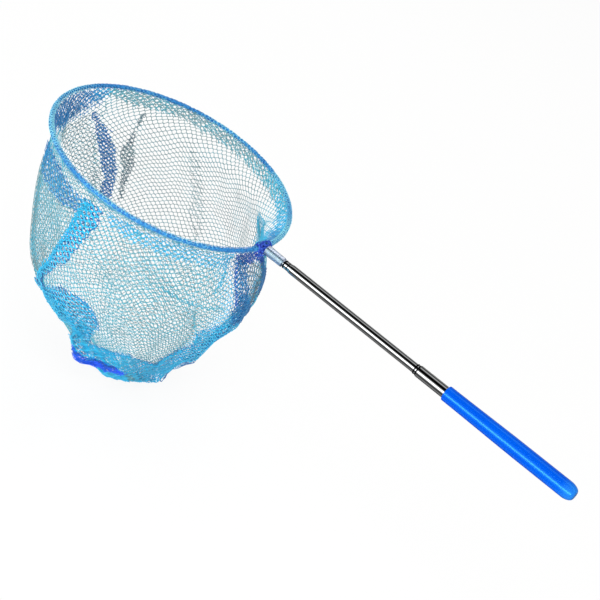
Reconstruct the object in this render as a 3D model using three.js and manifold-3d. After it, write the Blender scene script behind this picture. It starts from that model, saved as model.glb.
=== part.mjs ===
// A telescopic hand net: a wire hoop in a sewn casing carries a net bag, on a pole of five steel tubes.
// Sizes are in millimetres. The pole lies along X with the net at its +X end, and the bag hangs to -Z.
// The origin is on the pole's axis, at the middle of the grip. Section 2 is drawn out, the rest are shut.
import * as THREE from 'three';
import { mergeVertices } from 'three/addons/utils/BufferGeometryUtils.js';
import Module from 'manifold-3d';

const wasm = await Module();
wasm.setup();

// Hoop wire
const wireDiameter = 1.5;
const hoopRadius = 100;
const hoopTiltDegrees = 4.2;
const neckBendRadius = 3;
const legGap = 0.08;
const legLengthInTube = 9;

// Pole tubes. Each spring gap is the space round a sliding tube, inside the tube that carries it.
const tubeWall = 0.2;
const legClearance = 0.06;
const springGapTube5 = 0.35;
const springGapTube4 = 0.4;
const springGapTube3 = 0.55;
const springGapTube2 = 0.7;
const neckClearance = 0.1;
const beadHeight = 0.15;
const beadLength = 0.8;
const tube1Shows = 28.5;
const slidingTubeLength = 144;
const nestedStep = 0.6;
const tube5Setback = 0.4;
const neckLengths = [1.6, 4.2, 2.6, 2.6];
const taperLengths = [1.8, 3.6, 2.8, 2.4];

// Spring shims, two round the inner end of each sliding tube. Bosses hold them on tubes 2, 3 and 4. Tube 5
// turns in its shims, between two rolled beads.
const shimLength = 10;
const shimSetback = 1;
const shimClearance = 0.06;
const shimSplit = 1.4;
const shimStopGap = 0.3;
const bossRadius = 0.7;
const bossHoleClearance = 0.2;
const shimBeadHeight = 0.15;
const shimBeadLength = 0.6;
const shimBeadGap = 0.3;

// Grip
const gripLength = 116;
const gripWall = 1.3;
const gripSwell = 0.55;
const gripSwellLength = 70;
const gripEndWall = 3.7;
const gripDomeLength = 8;
const gripFlatRadius = 2.6;
const gripMouthRound = 0.9;
const gripClearance = 0.1;

// Clear sleeve over the joint of wire and tube
const sleeveLength = 16.6;
const sleeveRearRadius = 3.75;
const sleeveFrontRadius = 4.1;
const sleeveEndRound = 0.4;
const sleeveBoreClearance = 0.3;
const sleeveOverTube = 10;
const sleeveFaceGap = 0.4;
const sleeveToBend = 1.4;

// Rim casing, net bag and neck tie
const casingRadius = 1.65;
const casingClearance = 0.4;
const clothGap = 0.3;
const netThickness = 0.6;
const neckDip = 1.9;
const neckDipHalfWidth = 22;
const tieCordDiameter = 1.2;
const tieTurnSpacing = 1.8;
const tieTurnsPerArm = 2.5;
const tieTailLength = 1.5;

// The bag's level rings, from the casing down, in shares of the hoop's radius: depth below the hoop, shift
// along the pole, shift aside, and half-widths along and across the pole. The bag leans towards the handle.
const bagRings = [
  { depth: 0.14, shift: 0.01, aside: 0.06, along: 0.92, across: 0.87 },
  { depth: 0.36, shift: -0.1, aside: 0.09, along: 0.98, across: 0.89 },
  { depth: 0.72, shift: -0.17, aside: 0.04, along: 0.93, across: 0.95 },
  { depth: 1.06, shift: -0.17, aside: -0.01, along: 0.81, across: 0.89 },
  { depth: 1.34, shift: -0.22, aside: -0.08, along: 0.67, across: 0.74 },
  { depth: 1.53, shift: -0.4, aside: -0.12, along: 0.4, across: 0.6 },
  { depth: 1.67, shift: -0.5, aside: -0.1, along: 0.24, across: 0.36 },
  { depth: 1.78, shift: -0.58, aside: -0.1, along: 0, across: 0 },
];
const bagFoldCount = 8;
const bagFoldDepth = 2.5;

// The bag's plain grid of openings stands for the net's fine mesh. Ribs and depth are shares of a cell and of
// the bag's way down.
const bagOpeningsAround = 24;
const bagOpeningRows = 7;
const bagRibShare = 0.22;
const bagGridDepth = 0.86;

// Facets
const poleSides = 24;
const shoulderSteps = 4;
const pinSides = 12;
const gripSides = 32;
const gripDomeSteps = 7;
const gripSwellSteps = 5;
const gripMouthSteps = 3;
const wireSides = 8;
const casingSides = 8;
const casingHoleSides = 6;
const hoopSteps = 76;
const bendSteps = 6;
const turnSteps = 24;
const tieSides = 6;
const neckCrowding = 0.55;

// Sizes that follow from the ones above
const wireRadius = wireDiameter / 2;
const legOffset = wireRadius + legGap / 2;
const tube5Radius = 2 * wireRadius + legGap / 2 + legClearance + tubeWall;
const tube4Radius = tube5Radius + springGapTube5 + tubeWall;
const tube3Radius = tube4Radius + springGapTube4 + tubeWall;
const tube2Radius = tube3Radius + springGapTube3 + tubeWall;
const tube1Radius = tube2Radius + springGapTube2 + tubeWall;
const tubes = [
  { radius: tube1Radius, next: tube2Radius },
  { radius: tube2Radius, next: tube3Radius },
  { radius: tube3Radius, next: tube4Radius },
  { radius: tube4Radius, next: tube5Radius },
  { radius: tube5Radius },
];
for (let i = 0; i < neckLengths.length; i += 1) {
  tubes[i].neck = neckLengths[i];
  tubes[i].taper = taperLengths[i];
}
const shimReach = shimSetback + shimLength;
const gripMouthX = gripLength / 2;
const gripBoreX = -gripLength / 2 + gripEndWall;
const [tube1, tube2, tube3, tube4, tube5] = tubes;
tube1.mouthX = gripMouthX + tube1Shows;
tube1.innerX = gripBoreX + gripClearance;
tube2.innerX = tube1.mouthX - tube1.neck - tube1.taper - shimStopGap - shimReach;
tube2.mouthX = tube2.innerX + slidingTubeLength;
tube3.mouthX = tube2.mouthX + nestedStep;
tube3.innerX = tube3.mouthX - slidingTubeLength;
tube4.mouthX = tube3.mouthX + nestedStep;
tube4.innerX = tube4.mouthX - slidingTubeLength;
const sleeveRearX = tube4.mouthX + sleeveFaceGap;
tube5.mouthX = sleeveRearX + sleeveOverTube;
tube5.innerX = tube4.innerX + tube5Setback;
const sleeveFrontX = sleeveRearX + sleeveLength;
const hoopPivotX = sleeveFrontX + sleeveToBend;
const hoopTilt = THREE.MathUtils.degToRad(hoopTiltDegrees);
const bendReach = hoopRadius + neckBendRadius;
const bendRise = legOffset + neckBendRadius;
const hoopCentreX = Math.sqrt(bendReach ** 2 - bendRise ** 2);
const bendAngle = Math.atan2(hoopCentreX, bendRise);
const joinAngle = Math.atan2(bendRise, hoopCentreX);
const bagTopDepth = casingRadius + clothGap;

// Materials, with the colour, roughness and metalness that each surface shows
const finishes = {
  steel: { color: 0xc9cccf, roughness: 0.14, metalness: 1 },
  bronze: { color: 0xb08a4a, roughness: 0.35, metalness: 0.9 },
  grip: { color: 0x0a63e6, roughness: 0.25, metalness: 0 },
  sleeve: { color: 0xdfeaf6, roughness: 0.2, metalness: 0 },
  net: { color: 0x3fa9e8, roughness: 0.7, metalness: 0 },
  casing: { color: 0x2f86e0, roughness: 0.75, metalness: 0 },
  tie: { color: 0x1f2fc0, roughness: 0.8, metalness: 0 },
};

// Welds a geometry's shared corners, drops its empty triangles and turns its faces outwards.
function weld(geometry) {
  const bare = geometry.clone();
  bare.deleteAttribute('normal');
  bare.deleteAttribute('uv');
  const merged = mergeVertices(bare, 1e-4);
  const index = merged.index.array;
  const place = merged.attributes.position;
  const corners = [new THREE.Vector3(), new THREE.Vector3(), new THREE.Vector3()];
  const kept = [];
  let volume = 0;
  for (let i = 0; i < index.length; i += 3) {
    const [a, b, c] = [index[i], index[i + 1], index[i + 2]];
    if (a === b || b === c || c === a) {
      continue;
    }
    kept.push(a, b, c);
    corners[0].fromBufferAttribute(place, a);
    corners[1].fromBufferAttribute(place, b);
    corners[2].fromBufferAttribute(place, c);
    volume += corners[0].dot(corners[1].cross(corners[2]));
  }
  merged.setIndex(volume < 0 ? kept.reverse() : kept);
  return merged;
}

function toSolid(geometry) {
  const welded = weld(geometry);
  return new wasm.Manifold(new wasm.Mesh({
    numProp: 3,
    vertProperties: new Float32Array(welded.attributes.position.array),
    triVerts: new Uint32Array(welded.index.array),
  }));
}

function fromSolid(solid) {
  const mesh = solid.getMesh();
  const geometry = new THREE.BufferGeometry();
  geometry.setAttribute('position', new THREE.BufferAttribute(mesh.vertProperties, 3));
  geometry.setIndex(new THREE.BufferAttribute(mesh.triVerts, 1));
  return geometry;
}

function named(name, geometry, finish) {
  const shown = weld(geometry);
  shown.computeVertexNormals();
  const mesh = new THREE.Mesh(shown, new THREE.MeshStandardMaterial(finishes[finish]));
  mesh.name = name;
  return mesh;
}

// Revolves a profile of [radius, x] points about the pole's axis.
function revolve(profile, sides) {
  const points = profile.map(([radius, x]) => new THREE.Vector2(radius, x));
  const lathe = new THREE.LatheGeometry(points, sides);
  lathe.rotateZ(-Math.PI / 2);
  return lathe;
}

// A quarter of an ellipse from one profile point to another, leaving the first along its radius or its x.
function quarterTurn(from, to, steps, radiusFirst) {
  const points = [];
  for (let i = 1; i < steps; i += 1) {
    const angle = (i / steps) * (Math.PI / 2);
    const early = Math.sin(angle);
    const late = 1 - Math.cos(angle);
    const radiusShare = radiusFirst ? early : late;
    const xShare = radiusFirst ? late : early;
    points.push([from[0] + (to[0] - from[0]) * radiusShare, from[1] + (to[1] - from[1]) * xShare]);
  }
  return points;
}

// The swaged shoulder between a tube's full radius and its neck, eased at both ends.
function shoulder(fullRadius, fullX, neckRadius, neckX, steps) {
  const points = [];
  for (let i = 0; i <= steps; i += 1) {
    const share = i / steps;
    const eased = (1 - Math.cos(Math.PI * share)) / 2;
    points.push([fullRadius + (neckRadius - fullRadius) * eased, fullX + (neckX - fullX) * share]);
  }
  return points;
}

// A steel tube whose mouth is swaged down on the next tube and ends in a small rolled bead.
function neckedTubeProfile(tube) {
  const boreRadius = tube.radius - tubeWall;
  const neckBore = tube.next + neckClearance;
  const neckRadius = neckBore + tubeWall;
  const neckX = tube.mouthX - tube.neck;
  const fullX = neckX - tube.taper;
  const beadEase = beadLength / 4;
  return [
    [tube.radius, tube.innerX],
    ...shoulder(tube.radius, fullX, neckRadius, neckX, shoulderSteps),
    [neckRadius, tube.mouthX - beadLength],
    [neckRadius + beadHeight, tube.mouthX - beadLength + beadEase],
    [neckRadius + beadHeight, tube.mouthX - beadEase],
    [neckRadius, tube.mouthX],
    [neckBore, tube.mouthX],
    ...shoulder(boreRadius, fullX, neckBore, neckX, shoulderSteps).reverse(),
    [boreRadius, tube.innerX],
    [tube.radius, tube.innerX],
  ];
}

// The innermost tube, with a rolled bead on each side of its shims.
function beadedTubeProfile(tube) {
  const boreRadius = tube.radius - tubeWall;
  const beadRadius = tube.radius + shimBeadHeight;
  const rearBeadX = tube.innerX + shimSetback - shimBeadGap;
  const frontBeadX = tube.innerX + shimReach + shimBeadGap;
  return [
    [beadRadius, tube.innerX],
    [beadRadius, rearBeadX],
    [tube.radius, rearBeadX],
    [tube.radius, frontBeadX],
    [beadRadius, frontBeadX],
    [beadRadius, frontBeadX + shimBeadLength],
    [tube.radius, frontBeadX + shimBeadLength],
    [tube.radius, tube.mouthX],
    [boreRadius, tube.mouthX],
    [boreRadius, tube.innerX],
    [beadRadius, tube.innerX],
  ];
}

// A round pin across the pole at the middle of a tube's shims, from one radius to another.
function crossPin(tube, radius, fromRadius, toRadius, side) {
  const pin = new THREE.CylinderGeometry(radius, radius, toRadius - fromRadius, pinSides);
  pin.translate(0, (fromRadius + toRadius) / 2, 0);
  if (side < 0) {
    pin.rotateX(Math.PI);
  }
  pin.translate(tube.innerX + shimSetback + shimLength / 2, 0, 0);
  return toSolid(pin);
}

function slidingTube(tube) {
  if (!tube.next) {
    return revolve(beadedTubeProfile(tube), poleSides);
  }
  const holeRadius = bossRadius + bossHoleClearance;
  let solid = toSolid(revolve(neckedTubeProfile(tube), poleSides));
  for (const side of [1, -1]) {
    solid = solid.subtract(crossPin(tube, holeRadius, tube.radius / 2, tube.radius * 2, side));
  }
  return fromSolid(solid);
}

// Half a bronze sleeve that springs between two tubes. Its boss sits in the inner tube's hole.
function springShim(tube, carrier, side) {
  const innerRadius = tube.radius + shimClearance;
  const outerRadius = carrier.radius - tubeWall - shimClearance;
  const backX = tube.innerX + shimSetback;
  const frontX = backX + shimLength;
  const ring = toSolid(revolve([
    [innerRadius, backX],
    [outerRadius, backX],
    [outerRadius, frontX],
    [innerRadius, frontX],
    [innerRadius, backX],
  ], poleSides));
  const halfHeight = outerRadius * 2;
  const half = new THREE.BoxGeometry(shimLength * 2, halfHeight, outerRadius * 4);
  half.translate((backX + frontX) / 2, side * (halfHeight / 2 + shimSplit / 2), 0);
  const shell = ring.intersect(toSolid(half));
  if (!tube.next) {
    return fromSolid(shell);
  }
  const bossFoot = tube.radius - tubeWall;
  const bossTop = (innerRadius + outerRadius) / 2;
  return fromSolid(shell.add(crossPin(tube, bossRadius, bossFoot, bossTop, side)));
}

function gripShell() {
  const boreRadius = tube1Radius + gripClearance;
  const mouthRadius = boreRadius + gripWall;
  const fullRadius = mouthRadius + gripSwell;
  const buttX = -gripMouthX;
  const domeX = buttX + gripDomeLength;
  const swellX = gripMouthX - gripSwellLength;
  const roundX = gripMouthX - gripMouthRound;
  const roundStart = [mouthRadius, roundX];
  const roundEnd = [mouthRadius - gripMouthRound, gripMouthX];
  const domeStart = [gripFlatRadius, buttX];
  const domeEnd = [fullRadius, domeX];
  const swell = shoulder(fullRadius, swellX, mouthRadius, roundX, gripSwellSteps);
  return revolve([
    [0, buttX],
    domeStart,
    ...quarterTurn(domeStart, domeEnd, gripDomeSteps, true),
    domeEnd,
    ...swell,
    ...quarterTurn(roundStart, roundEnd, gripMouthSteps, false),
    roundEnd,
    [boreRadius, gripMouthX],
    [boreRadius, gripBoreX],
    [0, gripBoreX],
  ], gripSides);
}

function clearSleeve() {
  const boreRadius = tube5Radius + sleeveBoreClearance;
  return revolve([
    [boreRadius, sleeveRearX],
    [sleeveRearRadius - sleeveEndRound, sleeveRearX],
    [sleeveRearRadius, sleeveRearX + sleeveEndRound],
    [sleeveFrontRadius, sleeveFrontX - sleeveEndRound],
    [sleeveFrontRadius - sleeveEndRound, sleeveFrontX],
    [boreRadius, sleeveFrontX],
    [boreRadius, sleeveRearX],
  ], poleSides);
}

// A path through a list of points, one point for each step.
class PointPath extends THREE.Curve {
  constructor(points) {
    super();
    this.points = points;
  }

  getUtoTmapping(u) {
    return u;
  }

  getPoint(t, target = new THREE.Vector3()) {
    const last = this.points.length - 1;
    const place = Math.min(Math.max(t, 0), 1) * last;
    const before = Math.min(Math.floor(place), last - 1);
    return target.lerpVectors(this.points[before], this.points[before + 1], place - before);
  }
}

function polygon(radius, sides, into) {
  for (let i = 0; i <= sides; i += 1) {
    const angle = (i / sides) * 2 * Math.PI;
    const x = radius * Math.cos(angle);
    const y = radius * Math.sin(angle);
    if (i === 0) {
      into.moveTo(x, y);
    } else {
      into.lineTo(x, y);
    }
  }
  return into;
}

function sweep(section, points) {
  return new THREE.ExtrudeGeometry(section, {
    steps: points.length - 1,
    extrudePath: new PointPath(points),
    curveSegments: 1,
  });
}

// A point on the hoop's circle, at an angle from the neck, in the hoop's own plane.
function onHoop(angle) {
  const x = hoopCentreX - hoopRadius * Math.cos(angle);
  return new THREE.Vector3(x, hoopRadius * Math.sin(angle), 0);
}

function hoopArc() {
  const points = [];
  for (let i = 0; i <= hoopSteps; i += 1) {
    points.push(onHoop(joinAngle + (i / hoopSteps) * (2 * Math.PI - 2 * joinAngle)));
  }
  return points;
}

// The wire runs out of the pole, bends aside, goes round the hoop and comes back beside itself.
function hoopWire() {
  const bend = [];
  for (let i = 0; i < bendSteps; i += 1) {
    const angle = (i / bendSteps) * bendAngle;
    const x = neckBendRadius * Math.sin(angle);
    bend.push(new THREE.Vector3(x, bendRise - neckBendRadius * Math.cos(angle), 0));
  }
  const bendBack = bend.map((point) => new THREE.Vector3(point.x, -point.y, 0)).reverse();
  const tipped = [...bend, ...hoopArc(), ...bendBack];
  for (const point of tipped) {
    point.applyAxisAngle(new THREE.Vector3(0, 1, 0), -hoopTilt);
    point.x += hoopPivotX;
  }
  const legEndX = tube5.mouthX - legLengthInTube;
  const legStart = new THREE.Vector3(legEndX, legOffset, 0);
  const legFinish = new THREE.Vector3(legEndX, -legOffset, 0);
  const section = polygon(wireRadius, wireSides, new THREE.Shape());
  return sweep(section, [legStart, ...tipped, legFinish]);
}

function rimCasing() {
  const section = polygon(casingRadius, casingSides, new THREE.Shape());
  section.holes.push(polygon(wireRadius + casingClearance, casingHoleSides, new THREE.Path()));
  return sweep(section, hoopArc());
}

// Smooth steps from 1 at the middle of a band to 0 at its edge.
function fade(distance, halfWidth) {
  const share = Math.min(Math.abs(distance) / halfWidth, 1);
  return (1 + Math.cos(Math.PI * share)) / 2;
}

// The bag's own level lines: one curve each for the depth, the lean and the two half-widths.
const bagStations = [
  { depth: bagTopDepth / hoopRadius, shift: 0, aside: 0, along: 1, across: 1 },
  ...bagRings,
];
const shareOfHoop = (...shares) => new THREE.Vector3(...shares).multiplyScalar(hoopRadius);
const bagSizeCurve = new THREE.CatmullRomCurve3(
  bagStations.map((ring) => shareOfHoop(ring.along, ring.across, ring.depth)),
);
const bagLeanCurve = new THREE.CatmullRomCurve3(
  bagStations.map((ring) => shareOfHoop(ring.shift, ring.aside, ring.depth)),
);

// A point on the bag's outer face: down runs from 0 at the casing to 1 at the bottom.
function onBag(angle, down) {
  const size = bagSizeCurve.getPoint(down);
  const lean = bagLeanCurve.getPoint(down);
  const foldShare = Math.sin(Math.PI * down) ** 2;
  const fold = bagFoldDepth * foldShare * Math.cos(bagFoldCount * angle);
  const x = hoopCentreX + lean.x - (size.x + fold) * Math.cos(angle);
  const y = lean.y + (size.y + fold) * Math.sin(angle);
  const dip = neckDip * fade(hoopRadius * Math.sin(angle), neckDipHalfWidth);
  const isNeck = Math.cos(angle) > 0 ? 1 - down : 0;
  return new THREE.Vector3(x, y, -size.z - dip * Math.max(isNeck, 0));
}

// The bag's face pushed in by the net's thickness, from the slopes of the outer face. Its top is level.
function insideBag(angle, down) {
  const step = 1e-3;
  const below = Math.min(down + step, 1 - step);
  const above = Math.max(below - 2 * step, 0);
  const downhill = onBag(angle, below).sub(onBag(angle, above));
  const around = onBag(angle + step, (below + above) / 2).sub(onBag(angle - step, (below + above) / 2));
  const inward = downhill.cross(around);
  if (down === 0) {
    inward.z = 0;
  }
  return onBag(angle, down).addScaledVector(inward.normalize(), netThickness);
}

// The two edges of each rib, as shares of the way along a run of ribs and openings.
function ribEdges(count) {
  const edges = [];
  for (let i = 0; i < count; i += 1) {
    edges.push(i / count, (i + bagRibShare) / count);
  }
  return edges;
}

// A shell of net with a grid of openings from the casing down, and a plain bottom under it.
function netBag() {
  const positions = [];
  const triangles = [];
  const angles = ribEdges(bagOpeningsAround).map((share) => {
    const even = share * 2 * Math.PI;
    return even - neckCrowding * Math.sin(even);
  });
  const gridDowns = ribEdges(bagOpeningRows).map((share) => share * bagGridDepth);
  const downs = [...gridDowns, bagGridDepth, (bagGridDepth + 1) / 2];
  const sides = angles.length;
  const addFace = (place) => {
    const start = positions.length / 3;
    for (const down of downs) {
      for (const angle of angles) {
        positions.push(...place(angle, down).toArray());
      }
    }
    positions.push(...place(0, 1).toArray());
    return start;
  };
  const outside = addFace(onBag);
  const inside = addFace(insideBag);
  const addQuad = (a, b, c, d) => triangles.push(a, b, c, a, c, d);
  for (let row = 0; row + 1 < downs.length; row += 1) {
    for (let i = 0; i < sides; i += 1) {
      const next = (i + 1) % sides;
      const corners = [row * sides + i, row * sides + next, (row + 1) * sides + next, (row + 1) * sides + i];
      const [a, b, c, d] = corners;
      const isOpening = i % 2 === 1 && row % 2 === 1 && row < gridDowns.length;
      if (!isOpening) {
        addQuad(outside + a, outside + b, outside + c, outside + d);
        addQuad(inside + b, inside + a, inside + d, inside + c);
        continue;
      }
      for (let k = 0; k < corners.length; k += 1) {
        const from = corners[k];
        const to = corners[(k + 1) % corners.length];
        addQuad(outside + from, outside + to, inside + to, inside + from);
      }
    }
  }
  const lastRow = (downs.length - 1) * sides;
  const pole = downs.length * sides;
  for (let i = 0; i < sides; i += 1) {
    const next = (i + 1) % sides;
    triangles.push(outside + lastRow + i, outside + lastRow + next, outside + pole);
    triangles.push(inside + lastRow + next, inside + lastRow + i, inside + pole);
    addQuad(outside + next, outside + i, inside + i, inside + next);
  }
  const geometry = new THREE.BufferGeometry();
  geometry.setAttribute('position', new THREE.Float32BufferAttribute(positions, 3));
  geometry.setIndex(triangles);
  return geometry;
}

// The tie lashes one casing end, crosses over the wire's two legs and lashes the other casing end.
function tiePath() {
  const windRadius = casingRadius + clothGap + tieCordDiameter / 2;
  const crossHalf = hoopRadius * Math.sin(joinAngle) + tieCordDiameter / 2;
  const crossTurns = 0.25;
  const halfTurns = crossTurns + tieTurnsPerArm;
  const steps = Math.round(2 * halfTurns * turnSteps);
  const points = [];
  for (let i = 0; i <= steps; i += 1) {
    const turns = -halfTurns + (2 * halfTurns * i) / steps;
    const past = Math.max(Math.abs(turns) - crossTurns, 0);
    const crossed = Math.min(Math.abs(turns) / crossTurns, 1);
    const y = Math.sign(turns) * (crossHalf * crossed + tieTurnSpacing * past);
    const angle = Math.PI / 2 + turns * 2 * Math.PI;
    const centre = hoopCentreX - Math.sqrt(hoopRadius ** 2 - y ** 2);
    points.push(new THREE.Vector3(
      centre + windRadius * Math.cos(angle),
      y,
      windRadius * Math.sin(angle),
    ));
  }
  const straightOn = (end, before) => {
    const away = end.clone().sub(before).normalize();
    return end.clone().addScaledVector(away, tieTailLength);
  };
  const last = points.length - 1;
  points.unshift(straightOn(points[0], points[1]));
  points.push(straightOn(points[last + 1], points[last]));
  return points;
}

// The least clear space between two turns, measured between points that are over half a turn apart.
function leastSelfGap(points, diameter) {
  let least = Infinity;
  for (let i = 0; i < points.length; i += 1) {
    for (let j = i + turnSteps / 2; j < points.length; j += 1) {
      least = Math.min(least, points[i].distanceTo(points[j]) - diameter);
    }
  }
  return least;
}

const net = new THREE.Group();
const hoopPlane = new THREE.Group();
hoopPlane.position.x = hoopPivotX;
hoopPlane.rotation.y = -hoopTilt;
net.add(hoopPlane);

net.add(named('grip', gripShell(), 'grip'));
net.add(named('tube_1', revolve(neckedTubeProfile(tube1), poleSides), 'steel'));
for (let i = 1; i < tubes.length; i += 1) {
  const number = i + 1;
  net.add(named(`tube_${number}`, slidingTube(tubes[i]), 'steel'));
  net.add(named(`spring_shim_${number}_left`, springShim(tubes[i], tubes[i - 1], 1), 'bronze'));
  net.add(named(`spring_shim_${number}_right`, springShim(tubes[i], tubes[i - 1], -1), 'bronze'));
}
net.add(named('clear_sleeve', clearSleeve(), 'sleeve'));
net.add(named('hoop_wire', hoopWire(), 'steel'));

const tiePoints = tiePath();
console.log(`neck_tie least gap to itself: ${leastSelfGap(tiePoints, tieCordDiameter).toFixed(2)} mm`);
hoopPlane.add(named('rim_casing', rimCasing(), 'casing'));
hoopPlane.add(named('net_bag', netBag(), 'net'));
const tieSection = polygon(tieCordDiameter / 2, tieSides, new THREE.Shape());
hoopPlane.add(named('neck_tie', sweep(tieSection, tiePoints), 'tie'));

export default net;
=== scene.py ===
import math

import bpy
import numpy as np
from mathutils import Matrix, Vector


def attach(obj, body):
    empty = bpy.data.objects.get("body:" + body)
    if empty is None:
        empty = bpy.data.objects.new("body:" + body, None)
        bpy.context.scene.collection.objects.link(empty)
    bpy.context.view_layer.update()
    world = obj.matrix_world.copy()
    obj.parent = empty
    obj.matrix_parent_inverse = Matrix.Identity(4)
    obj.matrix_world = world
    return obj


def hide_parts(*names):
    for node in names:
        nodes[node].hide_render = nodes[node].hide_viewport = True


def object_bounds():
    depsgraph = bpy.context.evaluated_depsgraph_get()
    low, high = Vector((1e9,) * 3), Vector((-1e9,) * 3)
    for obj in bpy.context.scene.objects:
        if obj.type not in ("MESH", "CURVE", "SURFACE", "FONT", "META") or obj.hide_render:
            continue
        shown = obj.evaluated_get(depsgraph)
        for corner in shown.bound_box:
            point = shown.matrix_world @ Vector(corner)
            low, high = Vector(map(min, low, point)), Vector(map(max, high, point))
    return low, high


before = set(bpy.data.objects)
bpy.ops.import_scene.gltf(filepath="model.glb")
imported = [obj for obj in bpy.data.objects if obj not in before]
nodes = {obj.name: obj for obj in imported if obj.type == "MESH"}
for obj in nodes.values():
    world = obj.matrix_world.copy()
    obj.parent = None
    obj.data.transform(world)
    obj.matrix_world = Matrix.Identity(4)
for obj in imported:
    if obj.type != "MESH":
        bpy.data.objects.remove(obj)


def corners(bounds):
    return [[float(v) for v in corner] for corner in bounds]


cad_corners = corners(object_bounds())
MM = 0.001


def linked(name, data):
    """A new object in the scene."""
    made = bpy.data.objects.new(name, data)
    bpy.context.scene.collection.objects.link(made)
    return made


# ---- camera
# The place and aim come from fitting the hoop's ellipse and the pole's line. The lens is 1552 px long for 600 px.
CAMERA_PLACE = (-0.21766, 0.92851, 0.53922)
CAMERA_RIGHT = (-0.72793, -0.55857, 0.39764)
CAMERA_UP = (0.58734, -0.20876, 0.78195)
LENS_MM = 93.13

camera_data = bpy.data.cameras.new("camera")
camera = linked("camera", camera_data)
right = Vector(CAMERA_RIGHT).normalized()
back = right.cross(Vector(CAMERA_UP)).normalized()
up = back.cross(right)
camera.matrix_world = Matrix.Translation(CAMERA_PLACE) @ Matrix((right, up, back)).transposed().to_4x4()
camera_data.lens = LENS_MM
camera_data.sensor_width = 36
camera_data.clip_start = 0.02
camera_data.clip_end = 50
bpy.context.scene.camera = camera
bpy.context.scene.view_settings.view_transform = "Standard"


# ---- materials
def paint(hex_text):
    """The linear colour of an sRGB hex value."""
    parts = [int(hex_text[i:i + 2], 16) / 255 for i in (1, 3, 5)]
    return [p / 12.92 if p <= 0.04045 else ((p + 0.055) / 1.055) ** 2.4 for p in parts] + [1.0]


def add(tree, kind, sockets=None, **settings):
    """Adds a node with its settings, and with a value or a link in each named socket."""
    made = tree.nodes.new(kind)
    for key, value in settings.items():
        setattr(made, key, value)
    for key, value in (sockets or {}).items():
        if isinstance(value, bpy.types.NodeSocket):
            tree.links.new(value, made.inputs[key])
        else:
            made.inputs[key].default_value = value
    return made


def material(name, **sockets):
    """A new material whose shader has these numbers and colours on its own sockets."""
    made = bpy.data.materials.new(name)
    made.use_nodes = True
    shader = made.node_tree.nodes["Principled BSDF"]
    for key, value in sockets.items():
        shader.inputs[key.replace("_", " ")].default_value = value
    return made, made.node_tree, shader


def toned(tree, value, colours):
    """A value's colour on a ramp of (place, colour) stops, with colours as sRGB hex or linear parts."""
    ramp = add(tree, "ShaderNodeValToRGB", {"Fac": value})
    band = ramp.color_ramp
    while len(band.elements) > 1:
        band.elements.remove(band.elements[-1])
    colours = [(place, paint(colour) if isinstance(colour, str) else colour) for place, colour in colours]
    band.elements[0].position, band.elements[0].color = colours[0]
    for place, colour in colours[1:]:
        band.elements.new(place).color = colour
    return ramp.outputs["Color"]


def ranged(tree, value, low, high, to_low, to_high):
    """A value brought from one range to another."""
    return add(tree, "ShaderNodeMapRange", {
        "Value": value, "From Min": low, "From Max": high, "To Min": to_low, "To Max": to_high}).outputs["Result"]


def grained(tree, scale, detail=3.0):
    """Noise on Object coordinates, stretched by a scale for each axis, in lumps a metre."""
    place = add(tree, "ShaderNodeTexCoord")
    mapped = add(tree, "ShaderNodeMapping", {"Vector": place.outputs["Object"], "Scale": scale})
    return add(tree, "ShaderNodeTexNoise", {
        "Vector": mapped.outputs["Vector"], "Scale": 1.0, "Detail": detail, "Roughness": 0.5}).outputs["Fac"]


def bumped(tree, shader, height, strength, distance):
    """Lets a height stand out of the surface, by a strength and a distance in metres."""
    bump = add(tree, "ShaderNodeBump", {"Height": height, "Strength": strength, "Distance": distance})
    tree.links.new(bump.outputs["Normal"], shader.inputs["Normal"])


def object_parts(tree):
    """X, Y and Z of the Object coordinates. X runs along the pole."""
    place = add(tree, "ShaderNodeTexCoord")
    return add(tree, "ShaderNodeSeparateXYZ", {"Vector": place.outputs["Object"]}).outputs


def toned_round_pole(tree, colours):
    """The colour by the angle round the pole's axis, from (degrees, colour) stops over -180 to 180."""
    parts = object_parts(tree)
    turn = add(tree, "ShaderNodeMath", {0: parts["Z"], 1: parts["Y"]}, operation="ARCTAN2")
    share = ranged(tree, turn.outputs[0], -math.pi, math.pi, 0.0, 1.0)
    return toned(tree, share, [((degrees + 180) / 360, colour) for degrees, colour in colours])


def by_rays(tree, unseen, seen):
    """One level for the rays of the camera, of mirrors and through clear things, and another for all the rest."""
    rays = add(tree, "ShaderNodeLightPath")
    share = rays.outputs["Is Camera Ray"]
    for kind in ("Is Glossy Ray", "Is Transmission Ray"):
        share = add(tree, "ShaderNodeMath", {0: share, 1: rays.outputs[kind]}, operation="MAXIMUM").outputs[0]
    return ranged(tree, share, 0.0, 1.0, unseen, seen)


def steel_tube_finish():
    # Stainless tube, drawn and belt polished: mirror bright, with fine lines along its length.
    made, tree, shader = material("polished_stainless_tube", Base_Color=paint("#dcdedf"), Metallic=1.0)
    lines = grained(tree, (30, 4200, 4200))
    tree.links.new(ranged(tree, lines, 0.3, 0.7, 0.03, 0.08), shader.inputs["Roughness"])
    bumped(tree, shader, lines, 0.06, 0.00002)
    return made


def wire_finish():
    # Drawn steel wire: grey and satin, with draw lines.
    made, tree, shader = material("drawn_steel_wire", Base_Color=paint("#b4b8bc"), Metallic=1.0)
    lines = grained(tree, (900, 2600, 2600))
    tree.links.new(ranged(tree, lines, 0.0, 1.0, 0.22, 0.42), shader.inputs["Roughness"])
    return made


def mottled_metal_finish(name, base, roughness, lumps, dark, light):
    # Satin metal, mottled at random in two shades of itself.
    made, tree, shader = material(name, Base_Color=paint(base), Metallic=1.0, Roughness=roughness)
    tree.links.new(toned(tree, grained(tree, lumps), [(0.3, dark), (0.7, light)]), shader.inputs["Base Color"])
    return made


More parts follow.
